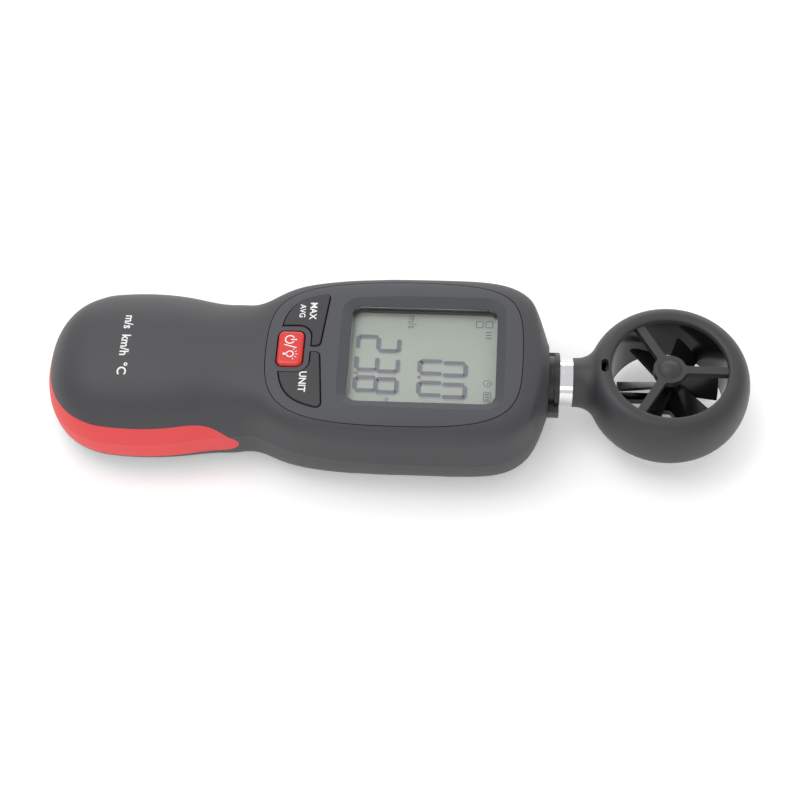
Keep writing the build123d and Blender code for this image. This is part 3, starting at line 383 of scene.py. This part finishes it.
# %% Metals
def metal(name, colour, rough, ring_axis=None, lines=2500.0, scratch=0.05, depth=0.15):
    """Bare or plated metal. Turned parts carry rings along one axis."""
    made = bpy.data.materials.new(name)
    made.use_nodes = True
    tree = made.node_tree
    shader = tree.nodes["Principled BSDF"]
    shader.inputs["Metallic"].default_value = 1.0
    place = tree.nodes.new("ShaderNodeTexCoord")
    squeeze = tree.nodes.new("ShaderNodeMapping")
    squeeze.inputs["Scale"].default_value = (
        (1, 0.02, 0.02) if ring_axis == "x" else (1, 1, 1))
    lathe = tree.nodes.new("ShaderNodeTexNoise")
    lathe.inputs["Scale"].default_value = lines
    lathe.inputs["Detail"].default_value = 2.0
    tree.links.new(place.outputs["Object"], squeeze.inputs["Vector"])
    tree.links.new(squeeze.outputs["Vector"], lathe.inputs["Vector"])
    spread = tree.nodes.new("ShaderNodeMapRange")
    spread.inputs["To Min"].default_value = rough
    spread.inputs["To Max"].default_value = rough + scratch
    tree.links.new(lathe.outputs["Fac"], spread.inputs["Value"])
    tree.links.new(spread.outputs["Result"], shader.inputs["Roughness"])
    tone = tree.nodes.new("ShaderNodeMapRange")
    tone.data_type = "FLOAT_VECTOR"
    tone.inputs[9].default_value = [value * 0.92 for value in colour]
    tone.inputs[10].default_value = colour
    tree.links.new(lathe.outputs["Fac"], tone.inputs[6])
    tree.links.new(tone.outputs[1], shader.inputs["Base Color"])
    cut = tree.nodes.new("ShaderNodeBump")
    cut.inputs["Strength"].default_value = depth
    cut.inputs["Distance"].default_value = 0.00001
    tree.links.new(lathe.outputs["Fac"], cut.inputs["Height"])
    tree.links.new(cut.outputs["Normal"], shader.inputs["Normal"])
    return made


finish.update({
    "chrome": metal("bright_chrome", (0.80, 0.80, 0.82), 0.06, "x", 1800.0),
    "steel": metal("zinc_steel", (0.58, 0.58, 0.60), 0.28),
    "nickel": metal("nickel_contact", (0.70, 0.68, 0.62), 0.22),
    "bronze": metal("sintered_bronze", (0.55, 0.33, 0.16), 0.38),
    "switch_metal": metal("switch_can", (0.62, 0.62, 0.64), 0.30),
})
print("all finishes so far:", len(finish))


# %% [markdown]
# ## Circuit board, battery jackets and glass
#
# These sit inside, and show when the door is off or the model is taken apart. The board
# is green solder mask over copper tracks; an object-space brick pattern is a cheap way to
# hint at tracks. A battery's jacket is printed in two colours with a bright ring at one
# end. The liquid crystal glass is a grey-green mirror sheet behind a thin polariser: the
# colour comes from slow noise over a pale green, and a thin coat gives the sheen.

# %% Board, battery and display glass
def board_finish():
    made = bpy.data.materials.new("green_board")
    made.use_nodes = True
    tree = made.node_tree
    shader = tree.nodes["Principled BSDF"]
    place = tree.nodes.new("ShaderNodeTexCoord")
    tracks = tree.nodes.new("ShaderNodeTexBrick")
    tracks.inputs["Scale"].default_value = 160.0
    tracks.inputs["Mortar Size"].default_value = 0.03
    tracks.inputs["Color1"].default_value = (0.010, 0.085, 0.030, 1)
    tracks.inputs["Color2"].default_value = (0.012, 0.095, 0.036, 1)
    tracks.inputs["Mortar"].default_value = (0.030, 0.190, 0.070, 1)
    tree.links.new(place.outputs["Object"], tracks.inputs["Vector"])
    tree.links.new(tracks.outputs["Color"], shader.inputs["Base Color"])
    lift = tree.nodes.new("ShaderNodeBump")
    lift.inputs["Strength"].default_value = 0.4
    lift.inputs["Distance"].default_value = 0.00003
    tree.links.new(tracks.outputs["Fac"], lift.inputs["Height"])
    tree.links.new(lift.outputs["Normal"], shader.inputs["Normal"])
    shader.inputs["Roughness"].default_value = 0.32
    return made


def jacket_finish():
    """A battery sleeve: dark body, bright band near one end, by place along the cell."""
    made = bpy.data.materials.new("battery_jacket")
    made.use_nodes = True
    tree = made.node_tree
    shader = tree.nodes["Principled BSDF"]
    place = tree.nodes.new("ShaderNodeTexCoord")
    split = tree.nodes.new("ShaderNodeSeparateXYZ")
    tree.links.new(place.outputs["Object"], split.inputs["Vector"])
    low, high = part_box("battery_cells")
    share = tree.nodes.new("ShaderNodeMapRange")
    share.inputs["From Min"].default_value = low.x
    share.inputs["From Max"].default_value = high.x
    tree.links.new(split.outputs["X"], share.inputs["Value"])
    bands = tree.nodes.new("ShaderNodeValToRGB")
    bands.color_ramp.interpolation = "CONSTANT"
    stops = bands.color_ramp.elements
    stops[0].position, stops[0].color = 0.0, (0.60, 0.58, 0.54, 1)
    stops[1].position, stops[1].color = 0.10, (0.02, 0.05, 0.14, 1)
    for position, colour in ((0.62, (0.62, 0.46, 0.10, 1)), (0.90, (0.60, 0.58, 0.54, 1))):
        stop = stops.new(position)
        stop.color = colour
    tree.links.new(share.outputs["Result"], bands.inputs["Fac"])
    tree.links.new(bands.outputs["Color"], shader.inputs["Base Color"])
    crinkle = tree.nodes.new("ShaderNodeTexNoise")
    crinkle.inputs["Scale"].default_value = 900.0
    tree.links.new(place.outputs["Object"], crinkle.inputs["Vector"])
    rough = tree.nodes.new("ShaderNodeMapRange")
    rough.inputs["To Min"].default_value = 0.22
    rough.inputs["To Max"].default_value = 0.34
    tree.links.new(crinkle.outputs["Fac"], rough.inputs["Value"])
    tree.links.new(rough.outputs["Result"], shader.inputs["Roughness"])
    return made


finish["board_green"] = board_finish()
finish["cell_jacket"] = jacket_finish()
finish["lcd_glass"] = grained("display_glass", (0.325, 0.360, 0.315), 0.34, 900, 0.05,
                              mottle=0.05, gloss_change=0.03, bump=0.05,
                              Coat_Weight=0.35, Coat_Roughness=0.12)


def lens_finish():
    """Clear acrylic. Light on its way to the display passes straight through."""
    made = bpy.data.materials.new("clear_lens")
    made.use_nodes = True
    tree = made.node_tree
    shader = tree.nodes["Principled BSDF"]
    shader.inputs["Base Color"].default_value = (0.97, 0.98, 0.98, 1)
    shader.inputs["Transmission Weight"].default_value = 1.0
    shader.inputs["IOR"].default_value = 1.25
    place = tree.nodes.new("ShaderNodeTexCoord")
    smears = tree.nodes.new("ShaderNodeTexNoise")
    smears.inputs["Scale"].default_value = 120.0
    tree.links.new(place.outputs["Object"], smears.inputs["Vector"])
    rough = tree.nodes.new("ShaderNodeMapRange")
    rough.inputs["To Min"].default_value = 0.0
    rough.inputs["To Max"].default_value = 0.02
    tree.links.new(smears.outputs["Fac"], rough.inputs["Value"])
    tree.links.new(rough.outputs["Result"], shader.inputs["Roughness"])
    rays = tree.nodes.new("ShaderNodeLightPath")
    let_through = tree.nodes.new("ShaderNodeMath")
    let_through.operation = "SUBTRACT"
    let_through.inputs[0].default_value = 1.0
    tree.links.new(rays.outputs["Is Shadow Ray"], let_through.inputs[1])
    tree.links.new(let_through.outputs[0], shader.inputs["Alpha"])
    return made


finish["window_clear"] = lens_finish()
print("all finishes:", len(finish))

# %% Dress the CAD nodes
bare = []
for name, piece in nodes.items():
    for place in piece.material_slots:
        label = place.material.name.split(".")[0] if place.material else ""
        if label in finish:
            place.material = finish[label]
        else:
            bare.append((name, label))

def all_in(node_name, material):
    """Give every slot of one node the same finish."""
    for place in nodes[node_name].material_slots:
        place.material = material


# the big keys are darker than the faceplate; duct and rear spider are glossy as the rotor
key_finish = grained("charcoal_key", (0.028, 0.028, 0.031), 0.50, 4600, 0.9)
for name in ("max_key", "unit_key"):
    all_in(name, key_finish)
for name in ("duct_ring", "rear_spider"):
    all_in(name, finish["black_gloss"])
print("slots without a finish:", bare)


# %% [markdown]
# ## The lens over the display
#
# The window is a thin clear plate with rounded corners, whose upper edge is polished to a
# small radius that catches a bright line. A cube is scaled to the part of the CAD window
# that shows, its four upright edges are bevelled to the corner radius, and then the rim
# of the top face gets a small bevel. The flange, which the faceplate hides, is left off.

# %% Lens
window_low, window_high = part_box("display_window")
FLANGE, THICK, CORNER = 1.15 * MM, 0.6 * MM, 2.6 * MM

clear_selection()
bpy.ops.mesh.primitive_cube_add(size=1.0)
lens = bpy.context.object
middle = (window_low + window_high) / 2
lens.scale = (window_high.x - window_low.x - 2 * FLANGE, window_high.y - window_low.y - 2 * FLANGE,
              THICK)
lens.location = (middle.x, middle.y, window_high.z - THICK / 2)
settle(lens, "display_lens")
edit(lens, "EDGE")


def upright(edge, middle_point):
    ends = [lens.data.vertices[index].co for index in edge.vertices]
    return abs(ends[0].z - ends[1].z) > THICK / 2


pick(lens, "edges", upright)
bpy.ops.mesh.bevel(offset=CORNER, segments=8, affect="EDGES")
bpy.ops.mesh.select_mode(type="FACE")
pick(lens, "polygons", lambda face, point: face.normal.z > 0.9)
bpy.ops.mesh.inset(thickness=0.22 * MM)
bpy.ops.mesh.select_all(action="DESELECT")
bpy.ops.mesh.select_mode(type="VERT")
rim_z = window_high.z
outer_x = (window_high.x - window_low.x) / 2 - FLANGE - 0.1 * MM
outer_y = (window_high.y - window_low.y) / 2 - FLANGE - 0.1 * MM


def on_outer_rim(vertex, point):
    """Top points that the inset left on the plate's edge."""
    if point.z < rim_z - 0.01 * MM:
        return False
    dx, dy = abs(point.x - middle.x), abs(point.y - middle.y)
    over_x, over_y = dx - (outer_x - CORNER), dy - (outer_y - CORNER)
    if over_x > 0 and over_y > 0:
        return (over_x**2 + over_y**2)**0.5 > CORNER - 0.05 * MM
    return dx > outer_x or dy > outer_y


pick(lens, "vertices", on_outer_rim)
bpy.ops.transform.translate(value=(0, 0, -0.18 * MM))
done()
smooth_by_angle(lens, 25)
lens.data.materials.append(finish["window_clear"])
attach(lens, "root")
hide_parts("display_window")
print("lens faces:", len(lens.data.polygons))


# %% [markdown]
# ## Ink
#
# The legends are pad printed in white: a flat film a few hundredths of a millimetre thick
# with slightly uneven edges. The display's segments are not ink but darkened crystal; they
# look violet grey on the pale green and each throws a soft, paler shadow on the mirror
# behind. Both finishes vary a little over the surface, so that no large flat colour shows.

# %% Ink and segment materials
ink = grained("white_ink", (0.86, 0.86, 0.86), 0.55, 6000, 0.6, mottle=0.08)
segment_dark = grained("display_segment", (0.150, 0.150, 0.175), 0.40, 2500, 0.1, mottle=0.10)
segment_shadow = grained("display_shadow", (0.270, 0.290, 0.280), 0.40, 2500, 0.1, mottle=0.10)
segment_faint = grained("display_faint", (0.150, 0.155, 0.165), 0.40, 2500, 0.1, mottle=0.10)


def printed_word(words, name, size, at, surface, thicken=0.02, spacing=1.0, width=1.0):
    """A word whose tops point to +x and that reads towards -y, laid on a surface."""
    clear_selection()
    bpy.ops.object.text_add()
    word = bpy.context.object
    word.data.body = words
    word.data.size = size
    word.data.offset = thicken * size
    word.data.space_character = spacing
    word.data.align_x, word.data.align_y = "CENTER", "CENTER"
    word.data.resolution_u = 6
    only(word)
    bpy.ops.object.convert(target="MESH")
    word = bpy.context.object
    word.scale = (width, 1.0, 1.0)
    word.rotation_euler = (0, 0, -pi / 2)
    word.location = at
    return lay_on(settle(word, name), surface)


def lay_on(mark, surface, film=0.03 * MM):
    """Drop a flat mark on a curved surface and give it the thickness of a coat of ink."""
    edit(mark, "FACE")
    bpy.ops.mesh.select_all(action="SELECT")
    bpy.ops.mesh.remove_doubles(threshold=0.002 * MM)
    bpy.ops.mesh.quads_convert_to_tris()
    bpy.ops.mesh.subdivide(number_cuts=2)
    done()
    finish_with(mark, "SHRINKWRAP", target=surface, wrap_method="PROJECT", use_project_z=True,
                use_positive_direction=False, use_negative_direction=True, offset=0.02 * MM)
    finish_with(mark, "SOLIDIFY", thickness=film, offset=1.0)
    mark.data.materials.clear()
    mark.data.materials.append(ink)
    return mark


def over(node_name, x, y):
    """A point well above a node, from which a mark is dropped on it."""
    return (collar_x + x * MM, y * MM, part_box(node_name)[1].z + 3 * MM)


marks = {
    "max_key": [printed_word("MAX", "legend_max", 2.5 * MM, over("max_key", -62.5, 11.5),
                             nodes["max_key"]),
                printed_word("AVG", "legend_avg", 2.1 * MM, over("max_key", -65.2, 11.4),
                             nodes["max_key"])],
    "unit_key": [printed_word("UNIT", "legend_unit", 2.6 * MM, over("unit_key", -63.6, -10.0),
                              nodes["unit_key"])],
    "root": [printed_word("m/s  km/h  °C", "handle_units", 3.2 * MM,
                          over("front_shell", -109.0, 0.0), nodes["front_shell"])],
}
for body, pieces in marks.items():
    for piece in pieces:
        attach(piece, body)
print("printed words:", sum(len(pieces) for pieces in marks.values()))

# %% [markdown]
# ## Symbols on the power key
#
# The red key carries a standby sign, a slash and a lamp with rays. Each is a stroke of
# even width. A circle is the start: its rim is extruded inward by an inset to make a
# ring, and the faces where the sign is open are deleted. Straight strokes are narrow
# planes with bevelled corners. All of them are joined and laid on the key like a word.

# %% Power key symbols
def ring_stroke(radius, width, at, open_half_angle=0.0, open_at=0.0, steps=48):
    """A flat ring of a given stroke, with a gap centred on one direction."""
    clear_selection()
    bpy.ops.mesh.primitive_circle_add(vertices=steps, radius=radius + width / 2, fill_type="NGON")
    ring = bpy.context.object
    edit(ring, "FACE")
    bpy.ops.mesh.select_all(action="SELECT")
    bpy.ops.mesh.inset(thickness=width)
    bpy.ops.mesh.delete(type="FACE")
    if open_half_angle:
        def in_gap(face, point):
            turn = Vector((point.x, point.y)).angle_signed(Vector((cos(open_at), sin(open_at))))
            return abs(turn) < open_half_angle
        pick(ring, "polygons", in_gap)
        bpy.ops.mesh.delete(type="FACE")
    done()
    ring.location = at
    return settle(ring, "stroke")


def bar_stroke(length, width, at, turn=0.0):
    """A flat bar with rounded ends, lying along x before it is turned."""
    clear_selection()
    bpy.ops.mesh.primitive_plane_add(size=1.0)
    bar = bpy.context.object
    bar.scale = (length, width, 1)
    settle(bar, "stroke")
    edit(bar, "VERT")
    bpy.ops.mesh.select_all(action="SELECT")
    bpy.ops.mesh.bevel(offset=width * 0.3, segments=3, affect="VERTICES")
    done()
    bar.rotation_euler = (0, 0, turn)
    bar.location = at
    return settle(bar, "stroke")


STROKE = 0.32 * MM
key_low, key_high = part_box("power_key")
key_mid = (key_low + key_high) / 2
drop_z = key_high.z + 2 * MM


def on_key(x, y):
    return (key_mid.x + x * MM, key_mid.y + y * MM, drop_z)


strokes = [
    ring_stroke(1.15 * MM, STROKE, on_key(-0.25, 2.35), radians(32), 0.0),
    bar_stroke(1.6 * MM, STROKE, on_key(0.75, 2.35)),
    bar_stroke(3.3 * MM, STROKE * 0.9, on_key(0.0, 0.35), radians(-16)),
    ring_stroke(0.85 * MM, STROKE * 0.9, on_key(0.05, -2.0)),
    bar_stroke(1.0 * MM, STROKE * 1.7, on_key(-1.25, -2.0)),
]
for step in range(5):
    turn = radians(-60 + 30 * step)
    strokes.append(bar_stroke(0.55 * MM, STROKE * 0.55,
                              on_key(0.05 + 1.65 * cos(turn), -2.0 + 1.65 * sin(turn)), turn))
power_sign = lay_on(join(strokes, "legend_power"), nodes["power_key"])
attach(power_sign, "power_key")
print("power sign faces:", len(power_sign.data.polygons))


# %% [markdown]
# ## The display's digits
#
# A seven segment digit is seven bars with pointed ends that nearly touch. A bar starts as
# a six sided disc whose two halves are pulled apart, and one is made for every lit
# segment. Higher bars are set a little to the side, so that the figure leans. The same
# bars again, lower and shifted, are the shadows on the mirror behind.

# %% Seven segment digits
glass_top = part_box("lcd_panel")[1].z
LEAN = radians(4.0)
DOT_LENGTH, DOT_WIDTH = 1.0 * MM, 0.75 * MM
LIT = {"0": "abcdef", "2": "abged", "3": "abgcd", "8": "abcdefg"}


def segment(length, width, at, along_x):
    """A bar with pointed ends, 0.02 mm thick, made from a six sided disc."""
    clear_selection()
    tip = width / 2 / sin(pi / 3)
    bpy.ops.mesh.primitive_circle_add(vertices=6, radius=tip, fill_type="NGON",
                                      rotation=(0, 0, pi / 6))
    bar = bpy.context.object
    bpy.ops.object.transform_apply(rotation=True)
    edit(bar, "VERT")
    pull = length / 2 - tip
    pick(bar, "vertices", lambda vertex, point: point.x > 0)
    bpy.ops.transform.translate(value=(pull, 0, 0))
    pick(bar, "vertices", lambda vertex, point: point.x < 0)
    bpy.ops.transform.translate(value=(-pull, 0, 0))
    bpy.ops.mesh.select_all(action="SELECT")
    bpy.ops.mesh.extrude_region_move(TRANSFORM_OT_translate={"value": (0, 0, 0.02 * MM)})
    bpy.ops.mesh.select_all(action="SELECT")
    bpy.ops.mesh.normals_make_consistent(inside=False)
    done()
    bar.rotation_euler = (0, 0, 0 if along_x else pi / 2)
    bar.location = at
    return settle(bar, "segment")


def digit(figure, foot_x, middle_y, tall, wide, stroke, z, shift=(0.0, 0.0)):
    """One digit. Its foot is at foot_x, its top towards +x, and it reads towards -y."""
    half = tall / 2
    long_bar, short_bar = half - 0.12 * MM, wide - 0.12 * MM
    places = {
        "a": (tall, 0, False), "d": (0, 0, False), "g": (half, 0, False),
        "b": (half * 1.5, -wide / 2, True), "c": (half * 0.5, -wide / 2, True),
        "f": (half * 1.5, wide / 2, True), "e": (half * 0.5, wide / 2, True)}
    bars = []
    for name in LIT[figure]:
        along, across, upward_bar = places[name]
        x = collar_x + foot_x * MM + along + shift[0]
        y = middle_y * MM + across - along * sin(LEAN) + shift[1]
        bars.append(segment(long_bar if upward_bar else short_bar, stroke, (x, y, z), upward_bar))
    return bars


def display_line(text, foot_x, first_y, pitch, tall, wide, stroke, z, shift=(0.0, 0.0)):
    """A row of figures with a point after the last but one."""
    bars = []
    for place, figure in enumerate(text):
        bars += digit(figure, foot_x, first_y - pitch * place, tall * MM, wide * MM,
                      stroke * MM, z, shift)
    dot_y = first_y - pitch * (len(text) - 1.5)
    dot_at = (collar_x + foot_x * MM + shift[0], dot_y * MM + shift[1], z)
    bars.append(segment(DOT_LENGTH, DOT_WIDTH, dot_at, True))
    return bars


def both_lines(z, shift, name, material):
    bars = display_line("238", -50.9, 5.2, 6.2, 10.4, 3.9, 1.15, z, shift)
    bars += display_line("00", -35.0, -1.7, 6.45, 11.5, 3.7, 1.15, z, shift)
    piece = join(bars, name)
    piece.data.materials.clear()
    piece.data.materials.append(material)
    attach(piece, "root")
    return piece


both_lines(glass_top + 0.03 * MM, (0, 0), "display_digits", segment_dark)
both_lines(glass_top + 0.005 * MM, (0.30 * MM, -0.45 * MM), "display_digit_shadows", segment_shadow)
print("digits made")


# %% [markdown]
# ## The display's small signs
#
# Beside the figures the glass shows its units, a degree mark, a clock, a battery gauge
# and two little frames with bars. They are a few strokes each, thinner than the digits
# and in nearly the same dark grey.

# %% Small display signs
def flat_word(words, name, size, x, y):
    clear_selection()
    bpy.ops.object.text_add()
    word = bpy.context.object
    word.data.body = words
    word.data.size = size
    word.data.offset = 0.01 * size
    word.data.extrude = 0.01 * MM
    word.data.align_x, word.data.align_y = "CENTER", "CENTER"
    only(word)
    bpy.ops.object.convert(target="MESH")
    word = bpy.context.object
    word.rotation_euler = (0, 0, -pi / 2)
    word.location = (collar_x + x * MM, y * MM, glass_top + 0.03 * MM)
    return settle(word, name)


def frame_stroke(length, width, line, x, y):
    """A rectangular outline from four bars."""
    z = glass_top + 0.03 * MM
    cx, cy = collar_x + x * MM, y * MM
    half_l, half_w = length / 2 * MM, width / 2 * MM
    return [segment(length * MM, line * MM, (cx, cy + half_w, z), True),
            segment(length * MM, line * MM, (cx, cy - half_w, z), True),
            segment(width * MM, line * MM, (cx + half_l, cy, z), False),
            segment(width * MM, line * MM, (cx - half_l, cy, z), False)]


def at_glass(x, y):
    return (collar_x + x * MM, y * MM, glass_top + 0.03 * MM)


signs = [flat_word("m/s", "sign", 2.9 * MM, -37.6, 11.8),
         flat_word("C", "sign", 1.9 * MM, -43.3, -12.6)]
signs.append(ring_stroke(0.35 * MM, 0.18 * MM, at_glass(-42.7, -11.6), steps=20))
signs.append(ring_stroke(0.95 * MM, 0.20 * MM, at_glass(-18.0, -6.3), steps=28))
signs.append(segment(0.8 * MM, 0.2 * MM, at_glass(-17.7, -6.3), True))
signs.append(segment(0.6 * MM, 0.2 * MM, at_glass(-18.0, -6.55), False))
signs += frame_stroke(1.7, 1.9, 0.28, -20.4, 11.6)
signs += frame_stroke(1.7, 1.9, 0.28, -18.0, 11.6)
signs += frame_stroke(1.7, 2.6, 0.24, -17.9, -10.3)
for step in range(3):
    signs.append(segment(1.1 * MM, 0.42 * MM, at_glass(-17.9, -9.6 - 0.75 * step), True))
    signs.append(segment(1.6 * MM, 0.34 * MM, at_glass(-18.1, 9.2 - 0.9 * step), True))
small_signs = join(signs, "display_signs")
small_signs.data.materials.clear()
small_signs.data.materials.append(segment_faint)
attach(small_signs, "root")
print("small signs faces:", len(small_signs.data.polygons))
